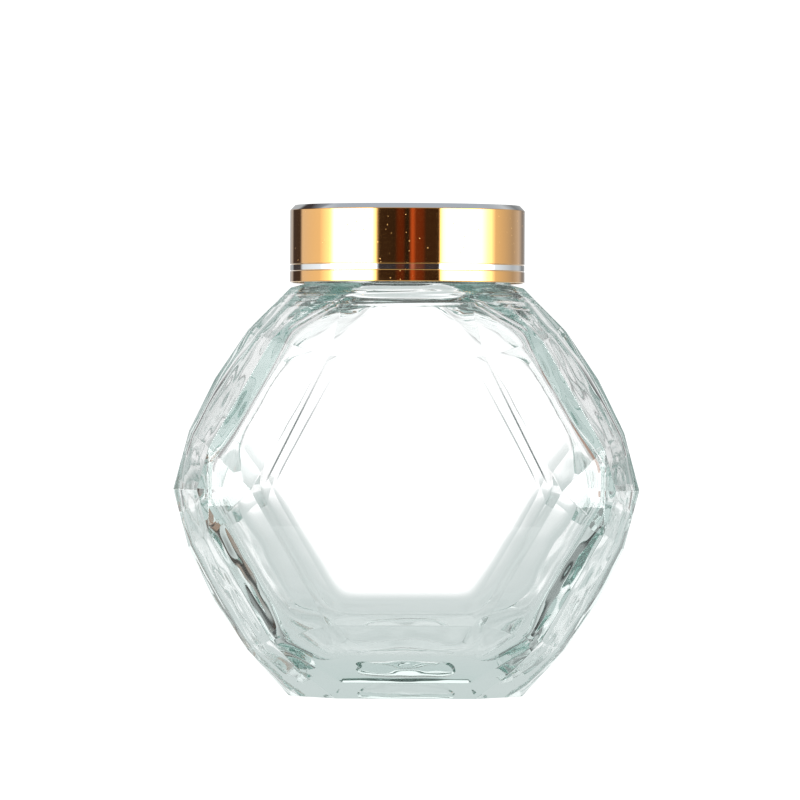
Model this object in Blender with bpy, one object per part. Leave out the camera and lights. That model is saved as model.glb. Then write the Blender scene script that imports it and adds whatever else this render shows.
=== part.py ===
# Faceted hexagonal glass honey jar with its screw lid on, in metres, +Z up, front towards -Y.
# The origin is at the middle of the base, and the jar is empty.
import math

import bmesh
import bpy
from mathutils import Vector

MM = 0.001

# Outside of the body: a flat hexagon at front and back, sloping facets with a kite at each corner,
# and a last row of facets that meet at the girdle, the widest line, in the middle of the depth
SIDES = 6
SECTOR = 2 * math.pi / SIDES
CENTRE_Z = 55.3 * MM
FACE_CORNER_R = 41.2 * MM
FACE_DEPTH = 35.0 * MM
RING_R = 53.6 * MM
RING_DEPTH = 30.3 * MM
RING_SPREAD = math.radians(12)
KITE_TIP_R = 55.6 * MM
KITE_TIP_DEPTH = 27.0 * MM
GIRDLE_CORNER_R = 62.5 * MM
GIRDLE_QUARTER_R = 60.4 * MM
GIRDLE_SIDE_R = 59.4 * MM
EDGE_ROUND = 0.7 * MM

# Foot and shoulder, where the corners that would point down and up are cut off
FOOT_SIDE_X = 31.2 * MM
FOOT_FRONT_X = 18.5 * MM
FOOT_FRONT_DEPTH = 23.0 * MM
PUNT_R = 13.0 * MM
PUNT_DEPTH = 1.2 * MM
SHOULDER_Z = 110.3 * MM
SHOULDER_R = 27.9 * MM

# Neck: a narrow waist that shows under the lid, and the wider finish that the lid goes over
WAIST_R = 27.6 * MM
FINISH_R = 29.3 * MM
FINISH_LOW_Z = 113.6 * MM
MOUTH_Z = 129.8 * MM
MOUTH_R = 23.4 * MM
LIP_ROUND = 1.4 * MM
ROUND_STEPS = 64

# Inside of the glass: a room whose flat walls follow the facets and turn softly from one to the next,
# and a round bore through the neck
ROOM_Z = 57.6 * MM
FACE_WALL = 3.8 * MM
CROWN_WALL = 4.6 * MM
UPPER_LESS = 0.8 * MM
KITE_WALL = 5.0 * MM
FLANK_WALL = 5.6 * MM
LOWER_EXTRA = 0.8 * MM
LOWER_LEAN = math.radians(14)
LOWER_FLANK = 2.5 * MM
FLOOR_Z = 7.4 * MM
SHOULDER_SLOPE = math.radians(50)
SHOULDER_WALL = 3.3 * MM
ROOM_FIRMNESS = 90
ROOM_DIVISIONS = 5
BORE_FLARE = 2.5 * MM

# Lid: a plain cylinder with a turned edge and one thin sunken line round it
LID_R = 31.5 * MM
LID_BOTTOM_Z = 110.7 * MM
LID_TOP_Z = 131.6 * MM
LID_CHAMFER = 1.3 * MM
LINE_LOW_Z = 113.8 * MM
LINE_HIGH_Z = 115.6 * MM
LINE_DEPTH = 0.2 * MM
FIT_GAP = 0.3 * MM
LID_STEPS = 96

GLASS_TINT = (0.78, 0.86, 0.84, 1.0)
GOLD = (0.83, 0.55, 0.20, 1.0)


def clear_scene():
    for item in list(bpy.data.objects):
        bpy.data.objects.remove(item)


def material(name, colour, roughness, metallic=0.0, transmission=0.0):
    made = bpy.data.materials.new(name)
    made.use_nodes = True
    shader = made.node_tree.nodes["Principled BSDF"]
    shader.inputs["Base Color"].default_value = colour
    shader.inputs["Roughness"].default_value = roughness
    shader.inputs["Metallic"].default_value = metallic
    shader.inputs["Transmission Weight"].default_value = transmission
    return made


def object_from(mesh, name, finish=None):
    data = bpy.data.meshes.new(name)
    mesh.to_mesh(data)
    mesh.free()
    if finish:
        data.materials.append(finish)
    made = bpy.data.objects.new(name, data)
    bpy.context.scene.collection.objects.link(made)
    return made


def around(radius, angle, depth):
    """A point at that angle and radius round the hexagon's centre, seen from the front."""
    return Vector((radius * math.cos(angle), depth, CENTRE_Z + radius * math.sin(angle)))


def gem_points():
    """Corners of the facets, without those that the foot and the shoulder cut off."""
    points = []
    for corner in range(SIDES):
        angle = corner * SECTOR
        for side in (-1, 1):
            points.append(around(FACE_CORNER_R, angle, side * FACE_DEPTH))
            points.append(around(RING_R, angle - RING_SPREAD, side * RING_DEPTH))
            points.append(around(RING_R, angle + RING_SPREAD, side * RING_DEPTH))
            points.append(around(KITE_TIP_R, angle, side * KITE_TIP_DEPTH))
        points.append(around(GIRDLE_CORNER_R, angle, 0))
        points.append(around(GIRDLE_QUARTER_R, angle + SECTOR / 4, 0))
        points.append(around(GIRDLE_SIDE_R, angle + SECTOR / 2, 0))
        points.append(around(GIRDLE_QUARTER_R, angle + SECTOR * 3 / 4, 0))
    return [p for p in points if 1.5 * MM < p.z < SHOULDER_Z - 0.5 * MM]


def foot_points():
    points = []
    for side in (-1, 1):
        points.append(Vector((side * FOOT_SIDE_X, 0, 0)))
        points.append(Vector((side * FOOT_FRONT_X, -FOOT_FRONT_DEPTH, 0)))
        points.append(Vector((side * FOOT_FRONT_X, FOOT_FRONT_DEPTH, 0)))
    return points


def shoulder_points():
    turns = [2 * math.pi * i / ROUND_STEPS for i in range(ROUND_STEPS)]
    return [Vector((SHOULDER_R * math.cos(a), SHOULDER_R * math.sin(a), SHOULDER_Z)) for a in turns]


def body_outside():
    mesh = bmesh.new()
    for point in gem_points() + foot_points() + shoulder_points():
        mesh.verts.new(point)
    bmesh.ops.convex_hull(mesh, input=mesh.verts)
    bmesh.ops.delete(mesh, geom=[v for v in mesh.verts if not v.link_faces], context="VERTS")
    bmesh.ops.dissolve_limit(mesh, angle_limit=math.radians(1), verts=mesh.verts, edges=mesh.edges)
    crisp = [e for e in mesh.edges if e.calc_face_angle() > math.radians(8)]
    bmesh.ops.bevel(
        mesh, geom=crisp, offset=EDGE_ROUND, segments=2, profile=0.5,
        affect="EDGES", clamp_overlap=True, material=-1,
    )
    bmesh.ops.recalc_face_normals(mesh, faces=mesh.faces)
    return mesh


def turned(profile, steps):
    """A closed solid turned round the Z axis, from (radius, height) points that begin and end on it."""
    mesh = bmesh.new()
    line = [mesh.verts.new((r, 0, z)) for r, z in profile]
    edges = [mesh.edges.new(pair) for pair in zip(line, line[1:])]
    bmesh.ops.spin(
        mesh, geom=line + edges, cent=(0, 0, 0), axis=(0, 0, 1),
        angle=2 * math.pi, steps=steps, use_merge=True,
    )
    bmesh.ops.remove_doubles(mesh, verts=mesh.verts, dist=0.01 * MM)
    bmesh.ops.recalc_face_normals(mesh, faces=mesh.faces)
    return mesh


def neck():
    profile = [
        (0, SHOULDER_Z - 4 * MM), (WAIST_R, SHOULDER_Z - 4 * MM), (WAIST_R, FINISH_LOW_Z - 0.8 * MM),
        (FINISH_R, FINISH_LOW_Z + 0.8 * MM), (FINISH_R, MOUTH_Z - LIP_ROUND),
        (FINISH_R - 0.3 * LIP_ROUND, MOUTH_Z - 0.3 * LIP_ROUND), (FINISH_R - LIP_ROUND, MOUTH_Z),
        (0, MOUTH_Z),
    ]
    return turned(profile, ROUND_STEPS)


def room_walls():
    """(unit normal, distance from the room's middle) of each flat wall of the hollow."""
    inner_y = FACE_DEPTH - FACE_WALL
    walls = [(Vector((0, side, 0)), inner_y) for side in (-1, 1)]
    over_side = [
        (FACE_CORNER_R * math.cos(SECTOR / 2), FACE_DEPTH),
        (RING_R * math.cos(SECTOR / 2 - RING_SPREAD), RING_DEPTH), (GIRDLE_SIDE_R, 0),
    ]
    over_corner = [(FACE_CORNER_R, FACE_DEPTH), (KITE_TIP_R, KITE_TIP_DEPTH), (GIRDLE_CORNER_R, 0)]
    for i in range(2 * SIDES):
        angle = i * SECTOR / 2
        outward = Vector((math.cos(angle), 0, math.sin(angle)))
        low = max(0, -outward.z)
        outline = over_side if i % 2 else over_corner
        for j, wall in enumerate((CROWN_WALL if i % 2 else KITE_WALL, FLANK_WALL + low * LOWER_FLANK)):
            if j == 1 and outward.z > 0.9:
                continue
            (low_r, low_y), (high_r, high_y) = outline[j:j + 2]
            lean = Vector((low_y - high_y, high_r - low_r)).normalized()
            far = Vector((low_r, low_y)).dot(lean) - wall + max(0, outward.z) * UPPER_LESS
            if j == 0:
                hinge = Vector(((far - lean.y * inner_y) / lean.x, inner_y))
                tilt = math.atan2(lean.x, lean.y) + low * LOWER_LEAN
                lean = Vector((math.sin(tilt), math.cos(tilt)))
                far = hinge.dot(lean)
            for side in (-1, 1):
                normal = outward * lean.x + Vector((0, side * lean.y, 0))
                shift = normal.z * (CENTRE_Z - ROOM_Z) + min(0, normal.z) * LOWER_EXTRA
                walls.append((normal, far + shift))
    walls.append((Vector((0, 0, -1)), ROOM_Z - FLOOR_Z))
    return walls


def shoulder_reach():
    """Distance from the room's middle to the slope under the shoulder."""
    rise = (SHOULDER_Z - ROOM_Z) * math.cos(SHOULDER_SLOPE)
    return rise + SHOULDER_R * math.sin(SHOULDER_SLOPE) - SHOULDER_WALL


def room_point(ray, walls):
    """Where a ray from the room's middle meets the hollow's wall."""
    presses = [normal.dot(ray) / far for normal, far in walls]
    squarish = (ray.x ** 4 + ray.y ** 4) ** 0.25
    slope = squarish * math.sin(SHOULDER_SLOPE) + ray.z * math.cos(SHOULDER_SLOPE)
    presses.append(slope / shoulder_reach())
    push = sum(p ** ROOM_FIRMNESS for p in presses if p > 0) ** (1 / ROOM_FIRMNESS)
    return ray / push + Vector((0, 0, ROOM_Z))


def room():
    """A ball pressed out against the walls, which rounds the corners between them as blowing does."""
    mesh = bmesh.new()
    bmesh.ops.create_icosphere(mesh, subdivisions=ROOM_DIVISIONS, radius=1)
    walls = room_walls()
    for corner in mesh.verts:
        corner.co = room_point(corner.co.normalized(), walls)
    return mesh


def bore():
    """Round hole through the neck, flared at its lower end to meet the slope of the shoulder."""
    rise = shoulder_reach() + BORE_FLARE - (MOUTH_R + BORE_FLARE) * math.sin(SHOULDER_SLOPE)
    middle = Vector((MOUTH_R + BORE_FLARE, ROOM_Z + rise / math.cos(SHOULDER_SLOPE)))
    last = math.pi * 3 / 2 - SHOULDER_SLOPE
    profile = [(0, MOUTH_Z + 4 * MM), (MOUTH_R, MOUTH_Z + 4 * MM)]
    for i in range(5):
        angle = math.pi + (last - math.pi) * i / 4
        profile.append((middle.x + BORE_FLARE * math.cos(angle), middle.y + BORE_FLARE * math.sin(angle)))
    end_r, end_z = profile[-1]
    profile += [(end_r - 6 * MM, end_z - 4 * MM), (0, end_z - 4 * MM)]
    return turned(profile, ROUND_STEPS)


def punt():
    """The shallow hollow under the foot."""
    profile = [
        (0, -MM), (PUNT_R + 1.5 * MM, -MM), (PUNT_R, 0.6 * PUNT_DEPTH), (0.8 * PUNT_R, PUNT_DEPTH),
        (0, PUNT_DEPTH),
    ]
    return turned(profile, ROUND_STEPS // 2)


def boolean(target, other, operation):
    """Joins other to target or cuts it out, and takes other out of the scene."""
    step = target.modifiers.new(operation.title(), "BOOLEAN")
    step.operation = operation
    step.object = other
    step.solver = "EXACT"
    graph = bpy.context.evaluated_depsgraph_get()
    done = bpy.data.meshes.new_from_object(target.evaluated_get(graph))
    target.modifiers.clear()
    target.data = done
    bpy.data.objects.remove(other)


def make_jar():
    glass = material("clear_glass", GLASS_TINT, 0.02, transmission=1.0)
    jar = object_from(body_outside(), "glass_jar", glass)
    boolean(jar, object_from(neck(), "neck"), "UNION")
    boolean(jar, object_from(room(), "room"), "DIFFERENCE")
    boolean(jar, object_from(bore(), "bore"), "DIFFERENCE")
    boolean(jar, object_from(punt(), "punt"), "DIFFERENCE")
    return jar


def make_lid():
    gold = material("gold_aluminium", GOLD, 0.12, metallic=1.0)
    bore = FINISH_R + FIT_GAP
    ceiling = MOUTH_Z + FIT_GAP
    profile = [
        (0, LID_TOP_Z), (LID_R - LID_CHAMFER, LID_TOP_Z), (LID_R, LID_TOP_Z - LID_CHAMFER),
        (LID_R, LINE_HIGH_Z), (LID_R - LINE_DEPTH, LINE_HIGH_Z - LINE_DEPTH),
        (LID_R - LINE_DEPTH, LINE_LOW_Z + LINE_DEPTH), (LID_R, LINE_LOW_Z),
        (LID_R, LID_BOTTOM_Z), (bore, LID_BOTTOM_Z), (bore, ceiling), (0, ceiling),
    ]
    return object_from(turned(profile, LID_STEPS), "lid", gold)


def main():
    clear_scene()
    for piece in (make_jar(), make_lid()):
        piece.data.shade_smooth()
        piece.data.set_sharp_from_angle(angle=math.radians(25))
    bpy.context.view_layer.update()


main()
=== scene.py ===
import math

import bmesh
import bpy
from mathutils import Matrix, Vector


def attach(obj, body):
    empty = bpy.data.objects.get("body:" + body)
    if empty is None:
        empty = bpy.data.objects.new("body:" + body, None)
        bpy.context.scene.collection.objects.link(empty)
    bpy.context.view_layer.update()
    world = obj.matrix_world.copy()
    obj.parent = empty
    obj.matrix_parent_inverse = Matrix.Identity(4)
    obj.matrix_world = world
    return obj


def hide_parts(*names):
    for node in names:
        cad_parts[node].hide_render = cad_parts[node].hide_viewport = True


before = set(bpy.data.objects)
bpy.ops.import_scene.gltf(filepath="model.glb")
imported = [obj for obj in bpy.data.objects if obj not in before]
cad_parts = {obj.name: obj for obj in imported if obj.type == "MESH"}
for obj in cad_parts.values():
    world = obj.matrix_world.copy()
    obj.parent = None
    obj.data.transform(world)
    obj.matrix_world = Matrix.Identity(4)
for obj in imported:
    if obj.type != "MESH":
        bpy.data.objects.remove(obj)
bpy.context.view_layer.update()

mm = 0.001


def linearColor(hexCode):
    # sRGB hex to the linear values that a shader wants
    parts = [int(hexCode[i:i + 2], 16) / 255 for i in (1, 3, 5)]
    return [p / 12.92 if p <= 0.04045 else ((p + 0.055) / 1.055) ** 2.4 for p in parts] + [1.0]


def addNode(tree, kind, settings=None, links=None):
    # one node, its settings by attribute or input name, and its links from other nodes' outputs
    node = tree.nodes.new(kind)
    for key, value in (settings or {}).items():
        if isinstance(key, int) or key in node.inputs:
            node.inputs[key].default_value = value
        else:
            setattr(node, key, value)
    for key, output in (links or {}).items():
        tree.links.new(output, node.inputs[key])
    return node


def newMaterial(name):
    made = bpy.data.materials.new(name)
    made.use_nodes = True
    made.node_tree.nodes.clear()
    return made, made.node_tree


def objectFrom(mesh, name, material):
    data = bpy.data.meshes.new(name)
    mesh.to_mesh(data)
    mesh.free()
    data.materials.append(material)
    made = bpy.data.objects.new(name, data)
    bpy.context.scene.collection.objects.link(made)
    return made


# camera at the photo's distance and height
cameraSetup = {
    "distance": 2300 * mm,
    "height": 72 * mm,
    "side": -1.8 * mm,
    "aimHeight": 79.4 * mm,
    "frameWidth": 214.5 * mm,
    "rollDegrees": 0.25,
}


def makeCamera():
    data = bpy.data.cameras.new("camera")
    data.sensor_width = 36
    data.lens = 36 * cameraSetup["distance"] / cameraSetup["frameWidth"]
    data.clip_end = 50
    made = bpy.data.objects.new("camera", data)
    bpy.context.scene.collection.objects.link(made)
    made.location = (cameraSetup["side"], -cameraSetup["distance"], cameraSetup["height"])
    aim = Vector((cameraSetup["side"], 0, cameraSetup["aimHeight"])) - made.location
    turn = aim.to_track_quat("-Z", "Y").to_matrix().to_4x4()
    made.matrix_world = (
        Matrix.Translation(made.location) @ turn
        @ Matrix.Rotation(math.radians(cameraSetup["rollDegrees"]), 4, "Z")
    )
    bpy.context.scene.camera = made


makeCamera()
print("camera placed")

jarSize = {
    "centreHeight": 55.3 * mm,  # middle of the hexagons
    "faceCorner": 41.2 * mm,
    "faceDepth": 35.0 * mm,
    "ring": 53.6 * mm,  # the two points beside each kite
    "ringDepth": 30.3 * mm,
    "ringSpread": 12.0,  # degrees from the corner
    "kiteTip": 55.6 * mm,
    "kiteTipDepth": 27.0 * mm,
    "girdle": (62.5 * mm, 60.4 * mm, 59.4 * mm, 60.4 * mm),  # every 15 degrees from a corner
    "footCut": 1.5 * mm,  # the foot cuts off the corners below this
    "footSide": 31.2 * mm,
    "footFront": (18.5 * mm, 23.0 * mm),
    "punt": (13.0 * mm, 1.2 * mm),  # radius and depth
    "puntSteps": 96,
    "shoulder": (27.9 * mm, 110.3 * mm),  # radius and height, as in the next ones
    "shoulderCut": 0.5 * mm,  # the shoulder cuts off the corners above this far under it
    "shoulderSteps": 128,
    "edgeRound": 0.7 * mm,
    "roundedFrom": 8,  # degrees between two facets, from where their edge is rounded
    "sharpFrom": 24,
    "waist": 27.6 * mm,
    "finish": (29.3 * mm, 113.6 * mm),
    "finishSlope": 0.8 * mm,
    "mouth": (23.4 * mm, 129.8 * mm),
    "lipRound": 1.4 * mm,
    "neckSteps": 192,
}
roomSize = {
    "middle": 57.6 * mm,  # a little higher than the outside, so the glass thickens towards the foot
    "faceWall": 3.8 * mm,
    "crownWall": 4.6 * mm,
    "upperLess": 0.8 * mm,  # this much less glass towards the shoulder
    "kiteWall": 5.0 * mm,
    "flankWall": 5.6 * mm,
    "lowerExtra": 0.8 * mm,  # this much more glass towards the foot
    "lowerLean": math.radians(14),  # and the lower walls draw in this much faster from the flat faces
    "lowerFlank": 2.5 * mm,
    "floor": 7.4 * mm,
    "slope": math.radians(50),
    "shoulderWall": 3.3 * mm,
    "firmness": 90,  # how tightly the blown wall turns from one flat to the next
    "fineness": 7,
    "flare": 2.5 * mm,
    "flareSteps": 12,
    "plug": (6 * mm, 4 * mm),  # how far the bore's cutter runs on inwards and down into the room
}


def aroundCentre(radius, degrees, y):
    angle = math.radians(degrees)
    return Vector((radius * math.cos(angle), y, jarSize["centreHeight"] + radius * math.sin(angle)))


def gemCorners():
    size = jarSize
    corners = []
    for turn in range(0, 360, 60):
        for side in (-1, 1):
            corners.append(aroundCentre(size["faceCorner"], turn, side * size["faceDepth"]))
            corners.append(aroundCentre(size["ring"], turn - size["ringSpread"], side * size["ringDepth"]))
            corners.append(aroundCentre(size["ring"], turn + size["ringSpread"], side * size["ringDepth"]))
            corners.append(aroundCentre(size["kiteTip"], turn, side * size["kiteTipDepth"]))
        corners += [aroundCentre(r, turn + 15 * i, 0) for i, r in enumerate(size["girdle"])]
    shoulderRadius, shoulderHeight = size["shoulder"]
    corners = [c for c in corners if size["footCut"] < c.z < shoulderHeight - size["shoulderCut"]]
    frontX, frontY = size["footFront"]
    for side in (-1, 1):
        corners.append(Vector((side * size["footSide"], 0, 0)))
        corners += [Vector((side * frontX, y, 0)) for y in (-frontY, frontY)]
    for i in range(size["shoulderSteps"]):
        angle = math.radians(i * 360 / size["shoulderSteps"])
        corners.append(Vector((shoulderRadius * math.cos(angle), shoulderRadius * math.sin(angle), shoulderHeight)))
    return corners


def makeGemBody():
    body = bmesh.new()
    for corner in gemCorners():
        body.verts.new(corner)
    bmesh.ops.convex_hull(body, input=body.verts)
    bmesh.ops.delete(body, geom=[v for v in body.verts if not v.link_faces], context="VERTS")
    bmesh.ops.dissolve_limit(body, angle_limit=math.radians(1), verts=body.verts, edges=body.edges)
    crisp = [e for e in body.edges if e.calc_face_angle() > math.radians(jarSize["roundedFrom"])]
    bmesh.ops.bevel(
        body, geom=crisp, offset=jarSize["edgeRound"], segments=4, profile=0.5,
        affect="EDGES", clamp_overlap=True, material=-1,
    )
    bmesh.ops.recalc_face_normals(body, faces=body.faces)
    return body


def turnProfile(points, steps):
    # a closed solid turned round Z, from (radius, height) points that begin and end on the axis
    turned = bmesh.new()
    line = [turned.verts.new((r, 0, z)) for r, z in points]
    edges = [turned.edges.new(pair) for pair in zip(line, line[1:])]
    bmesh.ops.spin(
        turned, geom=line + edges, cent=(0, 0, 0), axis=(0, 0, 1),
        angle=2 * math.pi, steps=steps, use_merge=True,
    )
    bmesh.ops.remove_doubles(turned, verts=turned.verts, dist=0.005 * mm)
    bmesh.ops.recalc_face_normals(turned, faces=turned.faces)
    return turned


def makeNeck():
    low = jarSize["shoulder"][1] - 4 * mm
    finish, finishLow = jarSize["finish"]
    top = jarSize["mouth"][1]
    lip, slope = jarSize["lipRound"], jarSize["finishSlope"]
    points = [(0, low), (jarSize["waist"], low), (jarSize["waist"], finishLow - slope), (finish, finishLow + slope)]
    for i in range(7):
        angle = math.radians(i * 15)
        points.append((finish - lip + lip * math.cos(angle), top - lip + lip * math.sin(angle)))
    points.append((0, top))
    return turnProfile(points, jarSize["neckSteps"])


def roomWalls():
    # (unit normal, distance from the room's middle) of each flat wall inside the glass
    size = roomSize
    walls = [(Vector((0, side, 0)), jarSize["faceDepth"] - size["faceWall"]) for side in (-1, 1)]
    overSide = [
        (jarSize["faceCorner"] * math.cos(math.radians(30)), jarSize["faceDepth"]),
        (jarSize["ring"] * math.cos(math.radians(30 - jarSize["ringSpread"])), jarSize["ringDepth"]),
        (jarSize["girdle"][2], 0),
    ]
    overCorner = [
        (jarSize["faceCorner"], jarSize["faceDepth"]),
        (jarSize["kiteTip"], jarSize["kiteTipDepth"]),
        (jarSize["girdle"][0], 0),
    ]
    for turn in range(0, 360, 30):
        outward = Vector((math.cos(math.radians(turn)), 0, math.sin(math.radians(turn))))
        low = max(0, -outward.z)
        outline, inner = (overCorner, size["kiteWall"]) if turn % 60 == 0 else (overSide, size["crownWall"])
        for i, wall in enumerate((inner, size["flankWall"] + low * size["lowerFlank"])):
            if i == 1 and outward.z > 0.9:
                continue  # the neck opens there
            (lowR, lowY), (highR, highY) = outline[i:i + 2]
            lean = Vector((lowY - highY, highR - lowR)).normalized()
            far = Vector((lowR, lowY)).dot(lean) - wall + max(0, outward.z) * size["upperLess"]
            if i == 0:
                faceY = jarSize["faceDepth"] - size["faceWall"]
                hinge = Vector(((far - lean.y * faceY) / lean.x, faceY))
                tilt = math.atan2(lean.x, lean.y) + low * size["lowerLean"]
                lean = Vector((math.sin(tilt), math.cos(tilt)))
                far = hinge.dot(lean)
            for side in (-1, 1):
                normal = outward * lean.x + Vector((0, side * lean.y, 0))
                shift = normal.z * (jarSize["centreHeight"] - size["middle"])
                walls.append((normal, far + shift + min(0, normal.z) * size["lowerExtra"]))
    walls.append((Vector((0, 0, -1)), size["middle"] - size["floor"]))
    return walls


def slopeReach():
    # distance from the room's middle to the slope under the shoulder
    shoulderRadius, shoulderHeight = jarSize["shoulder"]
    rise = (shoulderHeight - roomSize["middle"]) * math.cos(roomSize["slope"])
    return rise + shoulderRadius * math.sin(roomSize["slope"]) - roomSize["shoulderWall"]


def makeRoom():
    # a ball pressed out against the walls, which rounds the corners between them as blowing does
    room = bmesh.new()
    bmesh.ops.create_icosphere(room, subdivisions=roomSize["fineness"], radius=1)
    walls = roomWalls()
    firmness, slope = roomSize["firmness"], roomSize["slope"]
    for corner in room.verts:
        ray = corner.co.normalized()
        presses = [normal.dot(ray) / far for normal, far in walls]
        squarish = (ray.x ** 4 + ray.y ** 4) ** 0.25  # the roof is a square with round corners
        presses.append((squarish * math.sin(slope) + ray.z * math.cos(slope)) / slopeReach())
        push = sum(p ** firmness for p in presses if p > 0) ** (1 / firmness)
        corner.co = ray / push + Vector((0, 0, roomSize["middle"]))
    return room


def makeBore():
    # round hole through the neck, flared at its lower end to meet the slope of the shoulder
    radius, top = jarSize["mouth"]
    flare, slope = roomSize["flare"], roomSize["slope"]
    rise = slopeReach() + flare - (radius + flare) * math.sin(slope)
    middleR, middleZ = radius + flare, roomSize["middle"] + rise / math.cos(slope)
    points = [(0, top + 4 * mm), (radius, top + 4 * mm)]
    for i in range(roomSize["flareSteps"] + 1):
        angle = math.pi + (math.pi / 2 - slope) * i / roomSize["flareSteps"]
        points.append((middleR + flare * math.cos(angle), middleZ + flare * math.sin(angle)))
    endR, endZ = points[-1]
    inwards, down = roomSize["plug"]
    points += [(endR - inwards, endZ - down), (0, endZ - down)]
    return turnProfile(points, jarSize["neckSteps"])


def combine(target, other, operation):
    # joins other to target or cuts it out
    step = target.modifiers.new("combine", "BOOLEAN")
    step.operation = operation
    step.object = other
    step.solver = "EXACT"
    graph = bpy.context.evaluated_depsgraph_get()
    done = bpy.data.meshes.new_from_object(target.evaluated_get(graph))
    target.modifiers.clear()
    target.data = done
    bpy.data.objects.remove(other)


glassLook = {
    "tint": "#c8e2dd",  # what a long way through the glass leaves of white light
    "tintDensity": 9.5,
    "index": 1.52,
    "waveSize": 14 * mm,
    "waveDepth": 1.1 * mm,
    "calmFlats": 0.4,  # a lower power brings the waves nearer to the flat front and back
    "creases": (14.0, 14.0, 330.0),  # per metre: long level creases where the neck was pinched
    "creaseDepth": 2.2 * mm,
    "creasesFrom": (103.5 * mm, 106.5 * mm),
    "paintedFoldLine": ((20.8 * mm, 90.2 * mm), (37.4 * mm, 57.0 * mm)),  # painted shade along a fold, from the top corner to the side corner
    "paintedFoldWidth": 0.3 * mm,
    "paintedFoldFade": (0.45, 0.9),  # shares of its length where it is full and where it starts to end
    "paintedFoldDepth": (28 * mm, 30 * mm),  # only this far out from the middle, at the flat walls
    # colour of the painted shade along the folds
    "paintedFoldShade": "#6f7675",
    "flatness": 50,
}


def makePaintedFoldShade(tree, place):
    # 1 along the painted shade lines on the folds in the front and back wall, seen from the front: left and right are
    # the same
    (topX, topZ), (endX, endZ) = glassLook["paintedFoldLine"]
    along = Vector((endX - topX, endZ - topZ))
    length = along.length
    along.normalize()
    fadeIn, fadeOut = glassLook["paintedFoldFade"]
    innermost, wall = glassLook["paintedFoldDepth"]
    parts = addNode(tree, "ShaderNodeSeparateXYZ", {}, {"Vector": place})
    wide = addNode(tree, "ShaderNodeMath", {"operation": "ABSOLUTE"}, {0: parts.outputs["X"]})
    deep = addNode(tree, "ShaderNodeMath", {"operation": "ABSOLUTE"}, {0: parts.outputs["Y"]})
    spot = addNode(tree, "ShaderNodeCombineXYZ", {}, {"X": wide.outputs[0], "Z": parts.outputs["Z"]})
    start = addNode(tree, "ShaderNodeVectorMath", {"operation": "SUBTRACT", 1: (topX, 0, topZ)}, {0: spot.outputs[0]})
    run = addNode(tree, "ShaderNodeVectorMath", {"operation": "DOT_PRODUCT", 1: (along.x, 0, along.y)},
                  {0: start.outputs[0]})
    off = addNode(tree, "ShaderNodeVectorMath", {"operation": "DOT_PRODUCT", 1: (along.y, 0, -along.x)},
                  {0: start.outputs[0]})
    away = addNode(tree, "ShaderNodeMath", {"operation": "ABSOLUTE"}, {0: off.outputs["Value"]})
    thin = addNode(tree, "ShaderNodeMapRange", {
        "From Min": glassLook["paintedFoldWidth"], "From Max": 0.3 * glassLook["paintedFoldWidth"],
    }, {"Value": away.outputs[0]})
    begins = addNode(tree, "ShaderNodeMapRange", {"From Min": 0.0, "From Max": fadeIn * length},
                     {"Value": run.outputs["Value"]})
    ends = addNode(tree, "ShaderNodeMapRange", {"From Min": length, "From Max": fadeOut * length},
                   {"Value": run.outputs["Value"]})
    flat = addNode(tree, "ShaderNodeMapRange", {"From Min": innermost, "From Max": wall}, {"Value": deep.outputs[0]})
    shade = thin
    for other in (begins, ends, flat):
        shade = addNode(tree, "ShaderNodeMath", {"operation": "MULTIPLY"}, {0: shade.outputs[0], 1: other.outputs[0]})
    return shade


def makeGlass():
    # soda-lime glass blown into a mould: crisp facets outside, a slightly wavy blown wall inside with level
    # creases under the neck, painted shade along the folds in the front and back wall, and a faint blue-green that
    # shows where light runs a long way through it
    glass, tree = newMaterial("sodaLimeGlassBlown")
    place = addNode(tree, "ShaderNodeTexCoord")
    blown = addNode(tree, "ShaderNodeAttribute", {"attribute_name": "blown"})
    broad = addNode(tree, "ShaderNodeTexNoise", {"Scale": 1 / glassLook["waveSize"], "Detail": 1.0},
                    {"Vector": place.outputs["Object"]})
    wavy = addNode(tree, "ShaderNodeBump", {"Distance": glassLook["waveDepth"]}, {
        "Strength": blown.outputs["Fac"], "Height": broad.outputs["Fac"],
    })
    parts = addNode(tree, "ShaderNodeSeparateXYZ", {}, {"Vector": place.outputs["Object"]})
    startHeight, fullHeight = glassLook["creasesFrom"]
    shoulder = addNode(tree, "ShaderNodeMapRange", {"From Min": startHeight, "From Max": fullHeight},
                       {"Value": parts.outputs["Z"]})
    stretch = addNode(tree, "ShaderNodeMapping", {"Scale": glassLook["creases"]}, {"Vector": place.outputs["Object"]})
    creases = addNode(tree, "ShaderNodeTexNoise", {"Scale": 1.0, "Detail": 2.0}, {"Vector": stretch.outputs[0]})
    creased = addNode(tree, "ShaderNodeBump", {"Distance": glassLook["creaseDepth"]}, {
        "Strength": shoulder.outputs[0], "Height": creases.outputs["Fac"], "Normal": wavy.outputs[0],
    })
    paintedFoldLine = makePaintedFoldShade(tree, place.outputs["Object"])
    # the base colour darkened along the folds: painted shade
    clear = addNode(tree, "ShaderNodeMix", {
        "data_type": "RGBA", "A": (1, 1, 1, 1), "B": linearColor(glassLook["paintedFoldShade"]),
    }, {"Factor": paintedFoldLine.outputs[0]})
    shader = addNode(tree, "ShaderNodeBsdfPrincipled", {
        "Roughness": 0.0, "IOR": glassLook["index"], "Transmission Weight": 1.0,
    }, {"Normal": creased.outputs[0], "Base Color": clear.outputs["Result"]})
    depth = addNode(tree, "ShaderNodeVolumeAbsorption", {
        "Color": linearColor(glassLook["tint"]), "Density": glassLook["tintDensity"],
    })
    addNode(tree, "ShaderNodeOutputMaterial", {}, {"Surface": shader.outputs[0], "Volume": depth.outputs[0]})
    return glass


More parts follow.
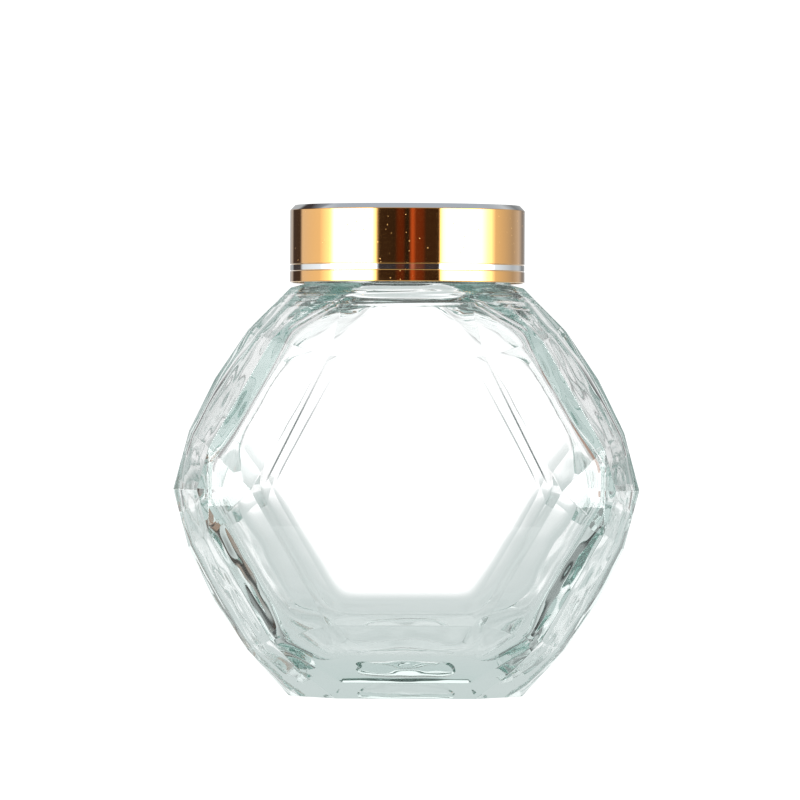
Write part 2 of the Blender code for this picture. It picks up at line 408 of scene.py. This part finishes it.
def makeJar():
    glass = makeGlass()
    jar = objectFrom(makeGemBody(), "jarGlass", glass)
    combine(jar, objectFrom(makeNeck(), "neck", glass), "UNION")
    jar.data.materials.append(glass)
    for cutter in (makeRoom(), makeBore()):
        for face in cutter.faces:
            face.material_index = 1
        hollow = objectFrom(cutter, "hollow", glass)
        hollow.data.materials.append(glass)
        combine(jar, hollow, "DIFFERENCE")
    puntRadius, puntDepth = jarSize["punt"]
    puntPoints = [
        (0, -mm), (puntRadius + 1.5 * mm, -mm), (puntRadius, 0.6 * puntDepth), (0.8 * puntRadius, puntDepth),
        (0, puntDepth),
    ]
    combine(jar, objectFrom(turnProfile(puntPoints, jarSize["puntSteps"]), "punt", glass), "DIFFERENCE")
    # 0 where the mould shaped the glass, up to 1 on the wall that air shaped, and calm on its front and back
    blown = jar.data.attributes.new("blown", "FLOAT", "POINT")
    for face in jar.data.polygons:
        for corner in face.vertices:
            if face.material_index == 1:
                blown.data[corner].value = max(0, 1 - abs(face.normal.y)) ** glassLook["calmFlats"]
        face.material_index = 0
    jar.data.materials.pop(index=1)
    jar.data.shade_smooth()
    jar.data.set_sharp_from_angle(angle=math.radians(jarSize["sharpFrom"]))
    even = jar.modifiers.new("flatFacets", "WEIGHTED_NORMAL")  # keeps facets flat between rounded edges
    even.weight = glassLook["flatness"]
    even.keep_sharp = True
    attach(jar, "root")
    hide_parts("glass_jar")
    print("jar:", len(jar.data.polygons), "faces")


makeJar()

lidSize = {
    "radius": 31.45 * mm,
    "bottom": 110.7 * mm,
    "top": 131.5 * mm,
    "cutEdge": 1.3 * mm,  # bright band turned round the top edge
    "line": (113.9 * mm, 115.5 * mm),  # bright line turned round the side
    "groove": 0.22 * mm,
    "shell": 0.6 * mm,
    "hem": 0.25 * mm,
    "linerBore": 29.6 * mm,
    "linerCeiling": 130.0 * mm,
    "play": 0.05 * mm,  # between the shell and the liner
    "steps": 256,
}
lidLook = {
    "gold": "#e6ab5b",
    "turning": (40, 40, 6000),  # per metre: lines that run round the lid
    "goldRoughness": (0.035, 0.075),
    "pitsPerMetre": 560.0,
    "pitSize": (0.11, 0.06),  # edge and middle of a pit, in shares of their spacing
    "pitRoughness": 0.5,
    "silver": "#e4e8ea",
    "cutting": (90, 90, 9000),
    "silverRoughness": (0.02, 0.07),
    "liner": ("#ecece8", "#f3f3f0"),
    "linerGrain": 1500.0,
    "linerGrainDepth": 0.03 * mm,
    "linerRoughness": (0.35, 0.5),
    "linerIndex": 1.49,
}


def makeGold():
    # gold anodised aluminium, bright dipped under a clear lacquer: a mirror with very fine turning lines
    # and a few tiny pits that scatter the light
    gold, tree = newMaterial("goldAnodisedAluminium")
    smooth, worn = lidLook["goldRoughness"]
    pitEdge, pitMiddle = lidLook["pitSize"]
    place = addNode(tree, "ShaderNodeTexCoord")
    scale = addNode(tree, "ShaderNodeMapping", {"Scale": lidLook["turning"]}, {"Vector": place.outputs["Object"]})
    lines = addNode(tree, "ShaderNodeTexNoise", {"Scale": 1.0, "Detail": 2.0}, {"Vector": scale.outputs[0]})
    finish = addNode(tree, "ShaderNodeMapRange", {
        "From Min": 0.3, "From Max": 0.7, "To Min": smooth, "To Max": worn,
    }, {"Value": lines.outputs["Fac"]})
    cells = addNode(tree, "ShaderNodeTexVoronoi", {"Scale": lidLook["pitsPerMetre"]}, {
        "Vector": place.outputs["Object"],
    })
    pits = addNode(tree, "ShaderNodeMapRange", {"From Min": pitEdge, "From Max": pitMiddle}, {
        "Value": cells.outputs["Distance"],
    })
    rough = addNode(tree, "ShaderNodeMix", {"B": lidLook["pitRoughness"]}, {
        "Factor": pits.outputs[0], "A": finish.outputs[0],
    })
    shader = addNode(tree, "ShaderNodeBsdfPrincipled", {
        "Base Color": linearColor(lidLook["gold"]), "Metallic": 1.0, "Coat Weight": 1.0,
    }, {"Roughness": rough.outputs[0], "Coat Roughness": rough.outputs[0]})
    addNode(tree, "ShaderNodeOutputMaterial", {}, {"Surface": shader.outputs[0]})
    return gold


def makeBrightCut():
    # bare aluminium where a tool has cut the gold away
    silver, tree = newMaterial("brightCutAluminium")
    smooth, scored = lidLook["silverRoughness"]
    place = addNode(tree, "ShaderNodeTexCoord")
    scale = addNode(tree, "ShaderNodeMapping", {"Scale": lidLook["cutting"]}, {"Vector": place.outputs["Object"]})
    marks = addNode(tree, "ShaderNodeTexNoise", {"Scale": 1.0, "Detail": 3.0}, {"Vector": scale.outputs[0]})
    finish = addNode(tree, "ShaderNodeMapRange", {
        "From Min": 0.3, "From Max": 0.7, "To Min": smooth, "To Max": scored,
    }, {"Value": marks.outputs["Fac"]})
    shader = addNode(tree, "ShaderNodeBsdfPrincipled", {
        "Base Color": linearColor(lidLook["silver"]), "Metallic": 1.0,
    }, {"Roughness": finish.outputs[0]})
    addNode(tree, "ShaderNodeOutputMaterial", {}, {"Surface": shader.outputs[0]})
    return silver


def makeLiner():
    # moulded white polypropylene, a little milky, with the fine matt grain of its mould
    white, tree = newMaterial("polypropyleneMoulded")
    shade, light = (linearColor(hexCode) for hexCode in lidLook["liner"])
    glossy, matt = lidLook["linerRoughness"]
    place = addNode(tree, "ShaderNodeTexCoord")
    grain = addNode(tree, "ShaderNodeTexNoise", {"Scale": lidLook["linerGrain"], "Detail": 2.0}, {
        "Vector": place.outputs["Object"],
    })
    finish = addNode(tree, "ShaderNodeMapRange", {"To Min": glossy, "To Max": matt}, {"Value": grain.outputs["Fac"]})
    milky = addNode(tree, "ShaderNodeMix", {"data_type": "RGBA", "A": shade, "B": light}, {
        "Factor": grain.outputs["Fac"],
    })
    rough = addNode(tree, "ShaderNodeBump", {"Strength": 0.3, "Distance": lidLook["linerGrainDepth"]}, {
        "Height": grain.outputs["Fac"],
    })
    shader = addNode(tree, "ShaderNodeBsdfPrincipled", {"IOR": lidLook["linerIndex"]}, {
        "Base Color": milky.outputs["Result"], "Roughness": finish.outputs[0], "Normal": rough.outputs[0],
    })
    addNode(tree, "ShaderNodeOutputMaterial", {}, {"Surface": shader.outputs[0]})
    return white


def makeLid():
    size = lidSize
    out, top, bottom, wall, cut, groove = (size[k] for k in ("radius", "top", "bottom", "shell", "cutEdge", "groove"))
    lineLow, lineHigh = size["line"]
    points = [
        (0, top), (out - cut, top), (out - 0.12 * mm, top - cut + 0.05 * mm), (out, top - cut - 0.12 * mm),
        (out, lineHigh + groove), (out - groove, lineHigh), (out - 0.06 * mm, lineHigh - 0.1 * mm),
        (out - 0.06 * mm, lineLow + 0.1 * mm), (out - groove, lineLow), (out, lineLow - groove),
        (out, bottom + size["hem"]), (out - 0.3 * size["hem"], bottom + 0.3 * size["hem"]),
        (out - size["hem"], bottom), (out - wall, bottom), (out - wall, top - cut - wall),
        (out - cut - wall, top - wall), (0, top - wall),
    ]
    shape = turnProfile(points, size["steps"])
    for face in shape.faces:
        middle = face.calc_center_median()
        onLine = lineLow + 0.02 * mm < middle.z < lineHigh - 0.02 * mm
        onEdge = middle.z > top - cut and 0.1 < face.normal.z < 0.98
        outside = math.hypot(middle.x, middle.y) > out - cut
        face.material_index = 1 if outside and (onLine or onEdge) else 0
    lid = objectFrom(shape, "lidShell", makeGold())
    lid.data.materials.append(makeBrightCut())
    lid.data.shade_smooth()
    lid.data.set_sharp_from_angle(angle=math.radians(20))
    inner = out - wall - size["play"]
    roof = top - wall - size["play"]
    bore, ceiling = size["linerBore"], size["linerCeiling"]
    points = [
        (0, roof), (inner - cut, roof), (inner, roof - cut), (inner, bottom + 0.6 * mm),
        (inner - 0.5 * mm, bottom + 0.35 * mm), (bore + 0.3 * mm, bottom + 0.35 * mm),
        (bore, bottom + 0.8 * mm), (bore, ceiling), (0, ceiling),
    ]
    liner = objectFrom(turnProfile(points, size["steps"]), "lidLiner", makeLiner())
    liner.data.shade_smooth()
    liner.data.set_sharp_from_angle(angle=math.radians(30))
    for piece in (lid, liner):
        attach(piece, "root")
        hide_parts("lid")
    print("lid:", len(lid.data.polygons), "faces")


makeLid()

studio = {
    "white": 1.15,  # backdrop and floor as the camera sees them
    "backdrop": 1.25,  # the same behind the glass
    "backdropEdge": (0.78, 0.985),  # how far round it reaches, as the cosine from straight behind
    "flag": (0.66, 0.025, 0.07),  # a thin black card beside it: middle, half width and end of its soft edge
    "flagLeft": 0.08,  # share of the light that the card leaves
    "cameraSide": 0.34,
    "overhead": 0.85,
    "overheadFrom": (0.3, 0.6),  # height as the sine, as in the next ones
    "ceiling": (0.5, 0.52, 0.56, 1),
    "ceilingFrom": (0.55, 0.8),
    # a brown thing in the room to the right, whose light crosses the jar and glints in the left flank
    "brown": (1.25, 0.8, 0.6, 1),
    "brownFrom": (0.6, 0.75),
    "brownBelow": (0.5, 0.35),
    "floorPaintedShadow": (0.63, 0.69, 0.68),  # painted shadow of the jar, teal from its glass, on the table top under and close round it
    "floorFar": 1.25,
    "floorFade": (60 * mm, 1500 * mm),
    # what the lid mirrors, by degrees round from the camera side: strength, and warmth from 0 to 1
    "mirrored": [
        (-180, 0.5, 0), (-156, 0.5, 0), (-150, 0.06, 0.3), (-131, 0.07, 0.3), (-126, 0.9, 0), (-96, 1.1, 0),
        (-82, 2.2, 0), (-76, 8.0, 0), (-36, 9.0, 0), (-30, 0.9, 0), (-28, 0.05, 0.4), (-12, 0.04, 0.4),
        (-9, 0.13, 1), (-4, 0.12, 1), (-2, 0.03, 0.3), (2, 0.03, 0.3), (4, 0.6, 1), (6, 0.6, 1), (8, 0.2, 1),
        (15, 0.16, 1), (18, 0.05, 0.5), (31, 0.05, 0.5), (35, 6.0, 0), (42, 8.5, 0), (76, 8.0, 0), (86, 3.4, 0),
        (97, 1.0, 0), (127, 0.53, 0), (142, 0.66, 0), (155, 0.25, 0), (180, 0.5, 0),
    ],
    "warmLoss": (0.74, 0.88),  # shares of green and blue that full warmth takes away
    "bounces": 40,
}


def makeMirrored(tree, parts):
    # the room that the gold reflects: upright panels and dark gaps, and a grey ceiling
    towards = addNode(tree, "ShaderNodeMath", {"operation": "MULTIPLY", 1: -1.0}, {0: parts.outputs["Y"]})
    turn = addNode(tree, "ShaderNodeMath", {"operation": "ARCTAN2"}, {0: parts.outputs["X"], 1: towards.outputs[0]})
    fraction = addNode(tree, "ShaderNodeMapRange", {"From Min": -math.pi, "From Max": math.pi}, {
        "Value": turn.outputs[0],
    })
    ramp = addNode(tree, "ShaderNodeValToRGB", {}, {"Fac": fraction.outputs[0]})
    stops = ramp.color_ramp.elements
    while len(stops) > 1:
        stops.remove(stops[-1])
    greenLoss, blueLoss = studio["warmLoss"]
    for i, (degrees, strength, warmth) in enumerate(studio["mirrored"]):
        share = (degrees + 180) / 360
        stop = stops[0] if i == 0 else stops.new(share)
        stop.position = share
        stop.color = (strength, strength * (1 - greenLoss * warmth), strength * (1 - blueLoss * warmth), 1)
    low, high = studio["ceilingFrom"]
    above = addNode(tree, "ShaderNodeMapRange", {"From Min": low, "From Max": high}, {"Value": parts.outputs["Z"]})
    ceiling = addNode(tree, "ShaderNodeMix", {"data_type": "RGBA", "B": studio["ceiling"]}, {
        "Factor": above.outputs[0], "A": ramp.outputs["Color"],
    })
    return addNode(tree, "ShaderNodeBackground", {"Strength": 1.0}, {"Color": ceiling.outputs["Result"]})


def makeThrough(tree, parts):
    # the light that reaches the camera through the glass: a white backdrop, a black card beside it, a pale
    # ceiling and a dim room behind the camera
    nearEdge, farEdge = studio["backdropEdge"]
    behind = addNode(tree, "ShaderNodeMapRange", {
        "From Min": nearEdge, "From Max": farEdge, "To Min": studio["cameraSide"], "To Max": studio["backdrop"],
    }, {"Value": parts.outputs["Y"]})
    low, high = studio["overheadFrom"]
    overhead = addNode(tree, "ShaderNodeMapRange", {
        "From Min": low, "From Max": high, "To Min": 0.0, "To Max": studio["overhead"],
    }, {"Value": parts.outputs["Z"]})
    bright = addNode(tree, "ShaderNodeMath", {"operation": "MAXIMUM"}, {
        0: behind.outputs[0], 1: overhead.outputs[0],
    })
    flagMiddle, flagHalf, flagEnd = studio["flag"]
    beside = addNode(tree, "ShaderNodeMath", {"operation": "SUBTRACT", 1: flagMiddle}, {0: parts.outputs["Y"]})
    apart = addNode(tree, "ShaderNodeMath", {"operation": "ABSOLUTE"}, {0: beside.outputs[0]})
    flag = addNode(tree, "ShaderNodeMapRange", {
        "From Min": flagHalf, "From Max": flagEnd, "To Min": studio["flagLeft"],
    }, {"Value": apart.outputs[0]})
    level = addNode(tree, "ShaderNodeMath", {"operation": "MULTIPLY"}, {0: bright.outputs[0], 1: flag.outputs[0]})
    near, far = studio["brownFrom"]
    sideward = addNode(tree, "ShaderNodeMapRange", {"From Min": near, "From Max": far}, {"Value": parts.outputs["X"]})
    top, full = studio["brownBelow"]
    lowward = addNode(tree, "ShaderNodeMapRange", {"From Min": top, "From Max": full}, {"Value": parts.outputs["Z"]})
    brown = addNode(tree, "ShaderNodeMath", {"operation": "MULTIPLY"}, {
        0: sideward.outputs[0], 1: lowward.outputs[0],
    })
    colour = addNode(tree, "ShaderNodeMix", {"data_type": "RGBA", "A": (1, 1, 1, 1), "B": studio["brown"]}, {
        "Factor": brown.outputs[0],
    })
    return addNode(tree, "ShaderNodeBackground", {}, {
        "Color": colour.outputs["Result"], "Strength": level.outputs[0],
    })


def makeWorld():
    world = bpy.data.worlds.new("studio")
    bpy.context.scene.world = world
    world.use_nodes = True
    tree = world.node_tree
    tree.nodes.clear()
    place = addNode(tree, "ShaderNodeTexCoord")
    parts = addNode(tree, "ShaderNodeSeparateXYZ", {}, {"Vector": place.outputs["Generated"]})
    mirrored = makeMirrored(tree, parts)
    through = makeThrough(tree, parts)
    plain = addNode(tree, "ShaderNodeBackground", {"Color": (1, 1, 1, 1), "Strength": studio["white"]})
    path = addNode(tree, "ShaderNodeLightPath")
    outside = addNode(tree, "ShaderNodeMixShader", {}, {
        0: path.outputs["Is Glossy Ray"], 1: plain.outputs[0], 2: mirrored.outputs[0],
    })
    every = addNode(tree, "ShaderNodeMixShader", {}, {
        0: path.outputs["Is Transmission Ray"], 1: outside.outputs[0], 2: through.outputs[0],
    })
    addNode(tree, "ShaderNodeOutputWorld", {}, {"Surface": every.outputs[0]})


def makeFloor():
    mesh = bmesh.new()
    bmesh.ops.create_grid(mesh, x_segments=1, y_segments=1, size=4)
    pale, tree = newMaterial("palePaperFloor")
    place = addNode(tree, "ShaderNodeTexCoord")
    away = addNode(tree, "ShaderNodeVectorMath", {"operation": "LENGTH"}, {0: place.outputs["Object"]})
    near, far = studio["floorFade"]
    fade = addNode(tree, "ShaderNodeMapRange", {
        "interpolation_type": "SMOOTHSTEP", "From Min": near, "From Max": far,
    }, {"Value": away.outputs["Value"]})
    # to the camera the floor glows plain white; to every other ray it glows darker and teal under and close round the
    # jar: a painted shadow
    paperWithPaintedShadow = addNode(tree, "ShaderNodeMix", {
        "data_type": "RGBA", "A": (*studio["floorPaintedShadow"], 1), "B": (*[studio["floorFar"]] * 3, 1),
    }, {"Factor": fade.outputs[0]})
    path = addNode(tree, "ShaderNodeLightPath")
    level = addNode(tree, "ShaderNodeMix", {"data_type": "RGBA", "B": (*[studio["white"]] * 3, 1)}, {
        "Factor": path.outputs["Is Camera Ray"], "A": paperWithPaintedShadow.outputs["Result"],
    })
    glow = addNode(tree, "ShaderNodeEmission", {"Strength": 1.0}, {"Color": level.outputs["Result"]})
    addNode(tree, "ShaderNodeOutputMaterial", {}, {"Surface": glow.outputs[0]})
    objectFrom(mesh, "floor", pale)


makeWorld()
makeFloor()
bpy.context.scene.view_settings.view_transform = "Standard"
paths = bpy.context.scene.cycles
paths.max_bounces = paths.transmission_bounces = paths.glossy_bounces = studio["bounces"]
print("studio lit")
